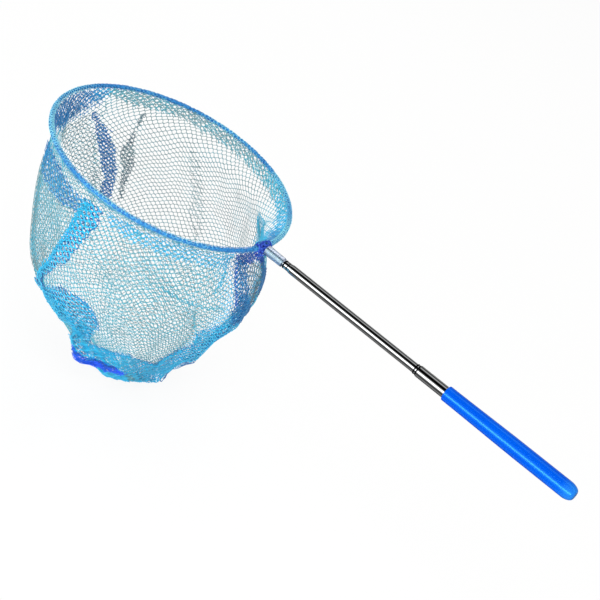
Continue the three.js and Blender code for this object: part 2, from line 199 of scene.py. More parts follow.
def grip_finish():
    # ABS, injection moulded and glossy: an even strong blue, with a slight flow in the colour and the gloss.
    made, tree, shader = material(
        "moulded_gloss_abs", Base_Color=paint("#0a5fe4"), Roughness=0.1, IOR=1.55,
        Specular_IOR_Level=1.0, Specular_Tint=paint("#74ffe0"))
    flow = grained(tree, (14, 60, 60), detail=2.0)
    # Painted light: the blunt end's colour is made paler, standing in for light that comes through its thin corner.
    end = ranged(tree, object_parts(tree)["X"], -0.046, -0.058, 0.0, 0.75)
    mixed = add(tree, "ShaderNodeMix", {"Factor": end}, data_type="RGBA")
    tree.links.new(toned(tree, flow, [(0.3, "#004ed0"), (0.7, "#005cdc")]), mixed.inputs[6])
    mixed.inputs[7].default_value = paint("#2a8ae6")
    tree.links.new(mixed.outputs[2], shader.inputs["Base Color"])
    bumped(tree, shader, flow, 0.08, 0.0001)
    return made


# The sleeve's painted reflections: light and dark streaks by the angle round the pole's axis.
SLEEVE_PAINTED_REFLECTIONS = [
    (-180, "#e6eefa"), (-85, "#dce6f2"), (-62, "#3c5470"), (-42, "#4c6686"), (-24, "#7090b8"), (-10, "#8cacd0"),
    (4, "#d4f0ff"), (22, "#dcf6ff"), (36, "#b4ccd8"), (46, "#6c8494"), (54, "#7c92a4"), (66, "#e4ecfc"),
    (88, "#e8eefc"), (108, "#b4bcc8"), (130, "#e0e8f4"), (180, "#e6eefa"),
]


def sleeve_finish():
    # Soft PVC tube, extruded: clear. Its smoke-blue and clear streaks along it are painted reflections, by the angle
    # round its axis.
    made, tree, shader = material(
        "clear_pvc_tube", Base_Color=paint("#d6e3f6"), Roughness=0.05, IOR=1.47, Transmission_Weight=0.62)
    tree.links.new(toned_round_pole(tree, SLEEVE_PAINTED_REFLECTIONS), shader.inputs["Base Color"])
    bumped(tree, shader, grained(tree, (40, 1500, 1500)), 0.03, 0.0001)
    return made


def yarn_finish(name, dyes_and_shades, lumps):
    # Nylon yarn, dyed and knitted: dull at this size, and it lets some light through. Its colour is the yarn's blue
    # with
    # painted light and shade: grey-green, partly a painted shade, where one layer is seen through; cyan on the lit
    # near wall; and deeper blue, a painted shade, where the net lies in folds and on its undersides.
    made, tree, shader = material(
        name, Roughness=0.6, IOR=1.45, Specular_IOR_Level=0.2, Transmission_Weight=0.2)
    depth = add(tree, "ShaderNodeAttribute", attribute_name="dye_and_shade")
    shift = ranged(tree, grained(tree, (lumps, lumps, lumps)), 0.3, 0.7, -0.05, 0.05)
    place = add(tree, "ShaderNodeMath", {0: depth.outputs["Fac"], 1: shift}, operation="ADD")
    tree.links.new(toned(tree, place.outputs[0], dyes_and_shades), shader.inputs["Base Color"])
    return made


def cloth_finish(name, dark, light, lumps):
    # Close layers of the same net, or bunched thread: a fine mottle of two shades, the darker a painted shadow where
    # loops lie over each other.
    made, tree, shader = material(name, Roughness=0.65, IOR=1.45)
    dye_and_shade = grained(tree, (lumps, lumps, lumps))
    tree.links.new(toned(tree, dye_and_shade, [(0.38, dark), (0.62, light)]), shader.inputs["Base Color"])
    bumped(tree, shader, dye_and_shade, 0.4, 0.0003)
    return made


steel = steel_tube_finish()
# The same tube's steel made dark: a painted dark reflection on rings at the shoulders and beads of the tube mouths.
painted_dark_ring_steel = mottled_metal_finish("steel_with_painted_dark_rings", "#1c1d1f", 0.35, (2600, 60, 60), "#121314", "#2a2b2e")
wire_steel = wire_finish()
# Phosphor bronze strip, rolled: warm and satin, a little darker where it rubs.
bronze = mottled_metal_finish("rolled_bronze_strip", "#b08a4a", 0.34, (200, 1400, 1400), "#96723a", "#bd9856")
grip_blue = grip_finish()
clear_pvc = sleeve_finish()
NET_DYES_AND_SHADES = [(0.0, "#566f80"), (0.14, "#7b9a9f"), (0.3, "#48b6cc"), (0.5, "#16c2f0"), (0.62, "#1c8ccc"),
            (0.75, "#1a6cac"), (0.86, "#1462c4"), (1.0, "#0460ff")]
net_yarn = yarn_finish("knitted_nylon_yarn", NET_DYES_AND_SHADES, 70.0)
casing_yarn = yarn_finish("casing_nylon_yarn", [(0.2, "#8ce0f0"), (0.8, "#2f92d4")], 220.0)
casing_cloth = cloth_finish("folded_casing_net", "#1260a8", "#2c8ccc", 600.0)
tie_thread = cloth_finish("bunched_tie_thread", "#10249c", "#3d6cd8", 900.0)


# ---- turned pieces
SMOOTH_DEGREES = 32


def turned(name, profile, steps):
    """Spins a profile of (x, radius) points, in millimetres, about the pole's axis."""
    bpy.ops.mesh.primitive_plane_add(size=0.001, location=(0, 0, 0))
    piece = bpy.context.object
    piece.name = piece.data.name = name
    bpy.ops.object.mode_set(mode="EDIT")
    bpy.ops.mesh.merge(type="CENTER")
    at = Vector((0, 0, 0))
    for i, (x, radius) in enumerate(profile):
        to = Vector((x * MM, 0, radius * MM))
        if i == 0:
            bpy.ops.transform.translate(value=to)
        else:
            bpy.ops.mesh.extrude_region_move(TRANSFORM_OT_translate={"value": to - at})
        at = to
    bpy.ops.mesh.select_all(action="SELECT")
    bpy.ops.mesh.spin(steps=steps, angle=2 * math.pi, center=(0, 0, 0), axis=(1, 0, 0))
    bpy.ops.mesh.select_all(action="SELECT")
    bpy.ops.mesh.remove_doubles(threshold=1e-6)
    bpy.ops.mesh.normals_make_consistent(inside=False)
    bpy.ops.object.mode_set(mode="OBJECT")
    bpy.ops.object.shade_smooth_by_angle(angle=math.radians(SMOOTH_DEGREES))
    return piece


def coat(piece, made):
    piece.data.materials.clear()
    piece.data.materials.append(made)


def finish_piece(piece, made, body, slot, *replaced):
    coat(piece, made)
    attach(piece, body)
    if replaced:
        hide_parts(*replaced)
    return piece


def between(start, end, shares):
    """Points between two profile points, by the share of the way that x and the radius have each gone."""
    return [(start[0] + (end[0] - start[0]) * x, start[1] + (end[1] - start[1]) * r) for x, r in shares]


def quarter(start, end, steps, leaves_along_radius):
    """Points of a quarter of an ellipse between two profile points, without the first."""
    turns = [i / steps * math.pi / 2 for i in range(1, steps + 1)]
    shares = [(math.sin(turn), 1 - math.cos(turn)) for turn in turns]
    return between(start, end, [(late, early) for early, late in shares] if leaves_along_radius else shares)


def eased(start, end, steps):
    """Points of an S-shaped shoulder between two profile points, without the first."""
    shares = [i / steps for i in range(1, steps + 1)]
    return between(start, end, [(share, (1 - math.cos(math.pi * share)) / 2) for share in shares])


# Tubes as in the CAD part: name, body, inner end, mouth, radius, the radius of the tube that each carries, the length
# of its neck and of the taper to it, and the rings painted dark, as a painted reflection on the bead and shoulder.
TUBE_WALL = 0.2
TUBE_SIDES = 64
NECK_PLAY = 0.1
SHOULDER_STEPS = 10
BEAD_HEIGHT = 0.15
BEAD_LENGTH = 0.8
BEAD_LIP = 0.25
TUBES = [
    ("tube_1", "handle", -54.2, 86.5, 4.6, 3.7, 1.6, 1.8, ((82.9, 84.4), (85.3, 86.5))),
    ("tube_2", "section_2", 71.8, 215.8, 3.7, 2.95, 4.2, 3.6, ((211.2, 212.0), (214.5, 215.8))),
    ("tube_3", "section_3", 72.4, 216.4, 2.95, 2.35, 2.6, 2.8, ()),
    ("tube_4", "section_4", 73.0, 217.0, 2.35, 1.8, 2.6, 2.4, ()),
]


def necked_tube(name, body, inner, mouth, radius, carried, neck, taper, rings):
    """A tube swaged down on the next one, with a rolled bead of round section at its mouth."""
    bore = carried + NECK_PLAY
    neck_radius = bore + TUBE_WALL
    neck_x = mouth - neck
    full_x = neck_x - taper
    bead_x = mouth - BEAD_LENGTH
    outside = [(inner, radius), (full_x, radius)]
    outside += eased((full_x, radius), (neck_x, neck_radius), SHOULDER_STEPS)
    cuts = sorted(x for ring in rings for x in ring if full_x < x < bead_x - 0.05)
    outside = sorted(outside + [
        (x, np.interp(x, *zip(*outside)) if x < neck_x else neck_radius) for x in cuts])
    bead = [(bead_x, neck_radius)]
    bead += quarter(bead[-1], (bead_x + BEAD_LIP, neck_radius + BEAD_HEIGHT), 4, True)
    bead += [(mouth - BEAD_LIP, neck_radius + BEAD_HEIGHT)]
    bead += quarter(bead[-1], (mouth, neck_radius), 4, False)
    inside = [(mouth, bore), (neck_x, bore)]
    inside += eased((neck_x, bore), (full_x, radius - TUBE_WALL), SHOULDER_STEPS)
    inside += [(inner, radius - TUBE_WALL), (inner, radius)]
    tube = turned(name + "_drawn", outside + bead + inside, TUBE_SIDES)
    finish_piece(tube, steel, body, name, name)
    # Faces in the rings take the dark steel: a painted dark reflection.
    if rings:
        tube.data.materials.append(painted_dark_ring_steel)
        for face in tube.data.polygons:
            x, out = face.center.x / MM, math.hypot(face.center.y, face.center.z) / MM
            face.material_index = int(out > bore + 0.05 and any(a < x < b for a, b in rings))


for tube_row in TUBES:
    necked_tube(*tube_row)

# The thinnest tube has two beads, which hold its shims between them.
tube_5 = turned("tube_5_drawn", [
    (73.4, 1.95), (74.1, 1.95), (74.1, 1.8), (84.7, 1.8), (84.7, 1.95), (85.3, 1.95), (85.3, 1.8),
    (227.3, 1.8), (227.4, 1.75), (227.4, 1.6), (73.4, 1.6), (73.4, 1.95)], TUBE_SIDES)
finish_piece(tube_5, steel, "net_head", "tube_5", "tube_5")

for name, node in nodes.items():
    if name.startswith("spring_shim"):
        coat(node, bronze)
coat(nodes["hoop_wire"], wire_steel)

# Grip: a blind moulded tube with a blunt end, swelling from its mouth to its middle.
BUTT_X, BORE_X, FULL_X, MOUTH_X = -58.0, -54.3, -12.0, 58.0
GRIP_FLAT, GRIP_BORE, GRIP_MOUTH, GRIP_FULL = 2.6, 4.7, 6.0, 6.55
BUTT_CORNER, MOUTH_CORNER, BORE_CORNER = 8, 0.9, 0.15
mouth_edge = (MOUTH_X - MOUTH_CORNER, GRIP_MOUTH)
grip_profile = [(BUTT_X, 0.0), (BUTT_X, GRIP_FLAT)]
grip_profile += quarter((BUTT_X, GRIP_FLAT), (BUTT_X + BUTT_CORNER, GRIP_FULL), 14, True)
grip_profile += [(FULL_X, GRIP_FULL)]
grip_profile += eased((FULL_X, GRIP_FULL), mouth_edge, 16)
grip_profile += quarter(mouth_edge, (MOUTH_X, GRIP_MOUTH - MOUTH_CORNER), 6, False)
grip_profile += [(MOUTH_X, GRIP_BORE + BORE_CORNER), (MOUTH_X - BORE_CORNER, GRIP_BORE)]
grip_profile += [(BORE_X, GRIP_BORE), (BORE_X, 0.0)]
grip = turned("grip_moulded", grip_profile, 96)
finish_piece(grip, grip_blue, "handle", "grip", "grip")

# Clear sleeve, a little flared at its net end.
SLEEVE_REAR, SLEEVE_FRONT, SLEEVE_BORE = 217.4, 234.0, 2.1
sleeve_profile = [(SLEEVE_REAR, SLEEVE_BORE), (SLEEVE_REAR, 3.45)]
sleeve_profile += quarter((SLEEVE_REAR, 3.45), (217.8, 3.75), 5, True)
sleeve_profile += [(233.6, 4.1)] + quarter((233.6, 4.1), (SLEEVE_FRONT, 3.7), 5, False)
sleeve_profile += [(SLEEVE_FRONT, SLEEVE_BORE), (SLEEVE_REAR, SLEEVE_BORE)]
sleeve = turned("clear_sleeve_tube", sleeve_profile, TUBE_SIDES)
finish_piece(sleeve, clear_pvc, "net_head", "sleeve", "clear_sleeve")

# ---- the bag's surface
HOOP_RADIUS = 100.0
HOOP_CENTRE_X = 102.967
HOOP_PIVOT_X = 235.4
HOOP_TILT = math.radians(4.2)
CASING_RADIUS = 1.65
BAG_TOP = 1.95
FOLD_COUNT, FOLD_DEPTH = 8, 2.5
NECK_DIP, NECK_DIP_HALF = 1.9, 22.0
# Depth below the hoop, shift along, shift aside, half-width along and across, in shares of the hoop's radius.
RINGS = np.array([
    (BAG_TOP / HOOP_RADIUS, 0, 0, 1, 1),
    (0.14, 0.01, 0.06, 0.92, 0.87),
    (0.36, -0.10, 0.09, 0.98, 0.89),
    (0.72, -0.17, 0.04, 0.93, 0.95),
    (1.06, -0.17, -0.01, 0.81, 0.89),
    (1.34, -0.22, -0.08, 0.67, 0.74),
    (1.53, -0.40, -0.12, 0.40, 0.60),
    (1.67, -0.50, -0.10, 0.24, 0.36),
    (1.78, -0.58, -0.10, 0.00, 0.00),
]) * HOOP_RADIUS


def unit(vectors):
    return vectors / np.maximum(np.linalg.norm(vectors, axis=-1, keepdims=True), 1e-9)


def resampled(places, at, table):
    """A table's columns, known at some places, at others."""
    return np.stack([np.interp(places, at, column) for column in table.T], axis=-1)


def length_gone(places):
    """The length gone at each place of a row of places."""
    steps = np.linalg.norm(np.diff(places, axis=-2), axis=-1)
    return np.insert(np.cumsum(steps, axis=-1), 0, 0, axis=-1)


def smooth_curve(points, count):
    """Centripetal Catmull-Rom through the points, count samples at even steps of its parameter."""
    made = []
    last = len(points) - 1
    padded = np.vstack([2 * points[0] - points[1], points, 2 * points[-1] - points[-2]])
    for share in np.linspace(0, 1, count):
        place = share * last
        i = min(int(place), last - 1)
        w = place - i
        p0, p1, p2, p3 = padded[i:i + 4]
        d0, d1, d2 = (max(np.linalg.norm(b - a), 1e-9) ** 0.5 for a, b in ((p0, p1), (p1, p2), (p2, p3)))
        t1 = ((p1 - p0) / d0 - (p2 - p0) / (d0 + d1) + (p2 - p1) / d1) * d1
        t2 = ((p2 - p1) / d1 - (p3 - p1) / (d1 + d2) + (p3 - p2) / d2) * d1
        made.append(p1 + t1 * w + (-3 * p1 + 3 * p2 - 2 * t1 - t2) * w ** 2 + (2 * p1 - 2 * p2 + t1 + t2) * w ** 3)
    return np.array(made)


DOWN_COUNT = 481
size_line = smooth_curve(RINGS[:, [3, 4, 0]], DOWN_COUNT)
lean_line = smooth_curve(RINGS[:, [1, 2, 0]], DOWN_COUNT)
downs = np.linspace(0, 1, DOWN_COUNT)
PER_DEGREE = 2
ANGLE_COUNT = 360 * PER_DEGREE + 1
angles = np.linspace(0, 2 * math.pi, ANGLE_COUNT)

fold_share = np.sin(math.pi * downs) ** 2
angle_grid, down_grid = np.meshgrid(angles, downs, indexing="ij")
fold_grid = FOLD_DEPTH * fold_share[None, :] * np.cos(FOLD_COUNT * angle_grid)
dip = NECK_DIP * (1 + np.cos(math.pi * np.minimum(np.abs(HOOP_RADIUS * np.sin(angle_grid)) / NECK_DIP_HALF, 1))) / 2
neck_share = np.where(np.cos(angle_grid) > 0, 1 - down_grid, 0)
bag_grid = np.stack([
    lean_line[None, :, 0] - (size_line[None, :, 0] + fold_grid) * np.cos(angle_grid),
    lean_line[None, :, 1] + (size_line[None, :, 1] + fold_grid) * np.sin(angle_grid),
    -size_line[None, :, 2] - dip * neck_share,
], axis=-1)


# Where the limp net is pushed out to a corner or hangs in: the place, how far it reaches, and the shift.
PUSHES = [
    ((-35, 53, -149), 7.1, (-0.7, 4.5, -7.7)),
    ((-50, 36, -161), 8.7, (-2.0, 1.3, -3.3)),
    ((-62, 22, -165), 8.0, (-1.0, 0.3, -1.2)),
    ((-74, -8, -166), 5.7, (-2.7, 0.2, -2.0)),
    ((-81, -14, -153), 6.5, (4.5, -0.2, 3.2)),
    ((-91, -13, -130), 4.8, (-2.4, 0.1, -1.7)),
    ((23, 60, -125), 9.4, (0.7, 1.5, -2.0)),
    ((-97, -43, -73), 11.2, (-2.0, -0.5, -0.4)),
]
for push_place, reach, shift in PUSHES:
    gap = np.linalg.norm(bag_grid - np.array(push_place), axis=-1)
    bag_grid = bag_grid + np.exp(-(gap / reach) ** 2 / 2)[..., None] * np.array(shift)


around = np.gradient(bag_grid, axis=0)
around[0] = around[-1] = bag_grid[1] - bag_grid[-2]
bag_normals = unit(np.cross(around, np.gradient(bag_grid, axis=1)))
# The normals point out of the bag: this one is on its side towards +Y.
if bag_normals[90, 200, 1] < 0:
    bag_normals = -bag_normals
NET_MID, NET_INSET = 0.3, 0.5
# Soft creases of a limp net: long low waves that run mostly down the wall.
creases = (0.9 * np.sin(7 * angle_grid + 5 * down_grid + 1.0) * np.sin(9 * down_grid + 2 * angle_grid)
           + 0.6 * np.sin(17 * angle_grid - 9 * down_grid) * np.sin(6 * down_grid + 1.3)
           + 0.35 * np.sin(31 * angle_grid + 22 * down_grid))
creases *= np.clip(down_grid * 9, 0, 1) * np.clip((1 - down_grid) * 6, 0, 1)
bag_grid = bag_grid - bag_normals * (NET_MID + NET_INSET + creases)[..., None]


def to_frame(points):
    """Hoop-plane millimetres, from the hoop's centre, to metres in the row frame."""
    x, y, z = points[..., 0] + HOOP_CENTRE_X, points[..., 1], points[..., 2]
    turned_x = HOOP_PIVOT_X + x * math.cos(HOOP_TILT) - z * math.sin(HOOP_TILT)
    turned_z = x * math.sin(HOOP_TILT) + z * math.cos(HOOP_TILT)
    return np.stack([turned_x, y, turned_z], axis=-1) * MM


def bilinear(table, a, b):
    """Values of a table between its cells. Places outside it give NaN."""
    rows, columns = table.shape[:2]
    outside = (a < 0) | (a > rows - 1) | (b < 0) | (b > columns - 1)
    a, b = np.clip(a, 0, rows - 1.001), np.clip(b, 0, columns - 1.001)
    i, j = a.astype(int), b.astype(int)
    fa, fb = (a - i)[:, None], (b - j)[:, None]
    value = (table[i, j] * (1 - fa) * (1 - fb) + table[i + 1, j] * fa * (1 - fb)
             + table[i, j + 1] * (1 - fa) * fb + table[i + 1, j + 1] * fa * fb)
    value[outside] = np.nan
    return value


# ---- the netting
# A six-sided mesh: short doubled joints, and single yarns that slant from joint to joint.
COLUMN = 3.05
HALF_ROW = 2.14
JOINT_HALF = 0.6
YARN = 0.48
JOINT_YARN = 0.86
JITTER = 0.14
EDGE_MARGIN = 10
# The most that a yarn stands out of the net on each side, and that its ends run past its joints.
YARN_HALF_DEPTH = 0.24
YARN_TUCK = 0.12
SHORTEST_RUN, LONGEST_RUN = 0.15, 9
chance = np.random.default_rng(7)


def honeycomb(low, wide, deep, tilt_degrees, pitch=1.0):
    """The mesh's segments over a flat rectangle, in millimetres: the start, end and thickness of each."""
    column, half_row, joint = COLUMN * pitch, HALF_ROW * pitch, JOINT_HALF * pitch
    reach = math.hypot(wide, deep) / 2 + EDGE_MARGIN
    columns, rows = int(reach / column) + 2, int(reach / half_row) + 2
    j, k = np.meshgrid(np.arange(-columns, columns + 1), np.arange(-rows, rows + 1), indexing="ij")
    centre = np.stack([j * column, k * half_row], axis=-1).astype(float)
    centre += chance.normal(0, JITTER * pitch, centre.shape)
    on = (j + k) % 2 == 0
    left, right_end = centre - (joint, 0), centre + (joint, 0)
    here = on[:-1, 1:-1]
    slants = right_end[:-1, 1:-1][here]
    starts = np.vstack([left[on], slants, slants])
    ends = np.vstack([right_end[on]] + [left[1:, 1 + step:left.shape[1] - 1 + step][here] for step in (1, -1)])
    sizes = np.repeat((JOINT_YARN, YARN), (on.sum(), 2 * here.sum()))
    tilt = math.radians(tilt_degrees)
    turn = np.array([[math.cos(tilt), math.sin(tilt)], [-math.sin(tilt), math.cos(tilt)]])
    middle = np.array([low + wide / 2, deep / 2])
    starts, ends = starts @ turn + middle, ends @ turn + middle
    mid = (starts + ends) / 2
    inside = (mid[:, 0] > low) & (mid[:, 0] < low + wide) & (mid[:, 1] > 0) & (mid[:, 1] < deep)
    return starts[inside], ends[inside], sizes[inside]


def yarns(starts, ends, normals, sizes, dye_and_shade):
    """Four-sided yarns between points: their corners, faces and the depth of dye at each corner."""
    ok = ~(np.isnan(starts).any(1) | np.isnan(ends).any(1) | np.isnan(normals).any(1))
    run = np.linalg.norm(ends - starts, axis=1)
    ok &= (run > SHORTEST_RUN) & (run < LONGEST_RUN)
    starts, ends, normals, sizes = starts[ok], ends[ok], normals[ok], sizes[ok]
    dye_and_shade = np.broadcast_to(dye_and_shade, ok.shape)[ok]
    ahead = unit(ends - starts)
    side = unit(np.cross(ahead, normals))
    out = np.cross(side, ahead)
    half = sizes[:, None] / 2
    tuck = ahead * np.minimum(half, YARN_TUCK)
    rise = out * np.minimum(half, YARN_HALF_DEPTH)
    ring = [side * half, rise, -side * half, -rise]
    points = np.stack([starts - tuck + r for r in ring] + [ends + tuck + r for r in ring], axis=1)
    base = (np.arange(len(starts)) * 8)[:, None]
    faces = np.stack([base + np.array([i, (i + 1) % 4, (i + 1) % 4 + 4, i + 4]) for i in range(4)], axis=1)
    return points.reshape(-1, 3), faces.reshape(-1, 4), np.repeat(dye_and_shade, 8)


def joined(parts):
    """Several lots of yarn as one: their corners, faces and dyes."""
    firsts = np.cumsum([0] + [len(points) for points, _, _ in parts])
    return (np.vstack([points for points, _, _ in parts]),
            np.vstack([faces + first for (_, faces, _), first in zip(parts, firsts)]),
            np.concatenate([dye_and_shade for _, _, dye_and_shade in parts]))


def mesh_piece(name, points, faces, dye_and_shade=None, smooth=False):
    """A mesh object from corners in metres and the lists of its faces' corners."""
    data = bpy.data.meshes.new(name)
    data.from_pydata(points.tolist(), [], faces)
    data.polygons.foreach_set("use_smooth", [smooth] * len(faces))
    data.update()
    if dye_and_shade is not None:
        data.attributes.new("dye_and_shade", "FLOAT", "POINT").data.foreach_set("value", dye_and_shade.astype(np.float32))
    return linked(name, data)


def flat_table(from_degrees, to_degrees, anchor_degrees):
    """Places, normals and angles of a wall of the bag on its flat grid of millimetres, first down, then around."""
    first, last, anchor = (int(round(d * PER_DEGREE)) for d in (from_degrees, to_degrees, anchor_degrees))
    taken = np.arange(first, last + 1)
    turn = np.broadcast_to(taken[:, None, None] / PER_DEGREE, (len(taken), DOWN_COUNT, 1))
    around_bag = taken % (ANGLE_COUNT - 1)
    wall = np.concatenate([bag_grid[around_bag], bag_normals[around_bag], turn], axis=2)
    lengths = length_gone(wall[:, :, :3])
    row_places = np.arange(0, lengths.max(), 1.0)
    rows = np.empty((len(row_places), len(wall), 7))
    for a in range(len(wall)):
        rows[:, a] = resampled(row_places, lengths[a], wall[a])
    across = length_gone(rows[:, :, :3])
    across -= across[:, anchor - first][:, None]
    column_places = np.arange(math.floor(across.min()), math.ceil(across.max()) + 1, 1.0)
    table = np.full((len(rows), len(column_places), 7), np.nan)
    for r in range(len(rows)):
        grow = np.maximum.accumulate(across[r] + np.arange(len(wall)) * 1e-7)
        inside = (column_places >= grow[0]) & (column_places <= grow[-1])
        table[r, inside] = resampled(column_places[inside], grow, rows[r])
    return table, column_places[0], len(row_places) - 1


def laid(wall, tilt_degrees, pitch=1.0):
    """The mesh on a wall: the table's rows at the start and end of each segment, its thickness and flat depth."""
    table, low, deepest = wall
    starts, ends, sizes = honeycomb(low, table.shape[1] - 1, deepest, tilt_degrees, pitch)
    a, b = (bilinear(table, flat[:, 1], flat[:, 0] - low) for flat in (starts, ends))
    return a, b, sizes, starts[:, 1]


def on_wall(degrees, depth):
    """Place and normal on the bag at an angle from the neck and a depth below the hoop's plane."""
    a = (degrees % 360) * PER_DEGREE
    i = int(a)
    f = a - i
    line, out = (grid[i] * (1 - f) + grid[i + 1] * f for grid in (bag_grid, bag_normals))
    return resampled(depth, -line[:, 2], line), unit(resampled(depth, -line[:, 2], out))


ROLL_SIDES = 72


def fold_netting(path, dye_and_shade, lift, thick, pitch):
    """A fold that lies on the bag: netting over a flattened tube along (degrees, depth, width) points."""
    path = np.array(path, float)
    path[:, 0] = np.degrees(np.unwrap(np.radians(path[:, 0])))
    fine = np.linspace(0, 1, 12 * (len(path) - 1) + 1)
    path = resampled(fine, np.linspace(0, 1, len(path)), path)
    kernel = np.ones(7) / 7
    path = np.stack([np.convolve(np.pad(column, 3, mode="edge"), kernel, "valid") for column in path.T], axis=1)
    centre, out = (np.array(found) for found in zip(*(on_wall(degrees, depth) for degrees, depth, _ in path)))
    ahead = unit(np.gradient(centre, axis=0))
    side = unit(np.cross(out, ahead))
    run = length_gone(centre)
    turns = np.linspace(0, 2 * math.pi, ROLL_SIDES + 1)
    table = np.empty((len(path), len(turns), 6))
    for t, (across, up_share) in enumerate(zip(np.cos(turns), np.sin(turns))):
        table[:, t, :3] = centre + side * (path[:, 2] / 2 * across)[:, None] + out * (lift + thick / 2 * up_share)
        table[:, t, 3:] = out * (1 if up_share >= 0 else -1)
    around = length_gone(np.cos(turns)[:, None]) / 2 * path[:, 2].max()
    starts, ends, sizes = honeycomb(0, around[-1], run[-1], 8.0, pitch)

    def place(flat):
        """The table's row at a flat place, or NaN off the fold."""
        return bilinear(table, np.interp(flat[:, 1], run, np.arange(len(path)), left=-1, right=len(path)),
                        np.interp(flat[:, 0], around, np.arange(len(turns)), left=-1, right=len(turns)))

    a, b = place(starts), place(ends)
    return yarns(a[:, :3], b[:, :3], a[:, 3:], sizes, dye_and_shade)


def within(outline, x, y):
    """Which of the places lie inside a closed outline."""
    inside = np.zeros(len(x), bool)
    for (x0, y0), (x1, y1) in zip(outline, outline[1:] + outline[:1]):
        crossed = (y0 > y) != (y1 > y)
        inside ^= crossed & (x < x0 + (y - y0) * (x1 - x0) / ((y1 - y0) or 1))
    return inside


def laid_netting(wall, outline, dye_and_shade, lift, tilt_degrees, pitch, thick):
    """One more layer of the net, folded over on a wall inside an outline of (degrees, depth) places."""
    a, b, sizes, _ = laid(wall, tilt_degrees, pitch)
    keep = within(outline, np.nan_to_num(a[:, 6]), np.nan_to_num(-a[:, 2], nan=-9))
    a, b, sizes = a[keep], b[keep], sizes[keep] * thick
    return yarns(a[:, :3] + a[:, 3:6] * lift, b[:, :3] + b[:, 3:6] * lift, a[:, 3:6], sizes, dye_and_shade)


def netting_piece(name, parts, *replaced):
    points, faces, dyes_and_shades = parts
    piece = mesh_piece(name, to_frame(points), faces.tolist(), dyes_and_shades)
    return finish_piece(piece, net_yarn, "net_head", "net", *replaced)


def cloth_piece(name, parts, replaced=()):
    netting_piece(name, parts, *replaced)


def wall_piece(name, from_degrees, to_degrees, anchor_degrees, tilt_degrees, dye_and_shade_places, dyes_and_shades):
    """One wall of the bag, knitted flat at an even pitch and laid on the bag."""
    wall = flat_table(from_degrees, to_degrees, anchor_degrees)
    a, b, sizes, _ = laid(wall, tilt_degrees)
    dye_and_shade = np.interp(np.nan_to_num(a[:, 6]), dye_and_shade_places, dyes_and_shades)
    cloth_piece(name, yarns(a[:, :3], b[:, :3], a[:, 3:6], sizes, dye_and_shade),
                ("net_bag",))


def folds_piece(name, wall, layers, folds):
    parts = [laid_netting(wall, outline, *layer) for outline, stack in layers for layer in stack]
    parts += [fold_netting(*fold) for fold in folds]
    return netting_piece(name, joined(parts), "net_bag")
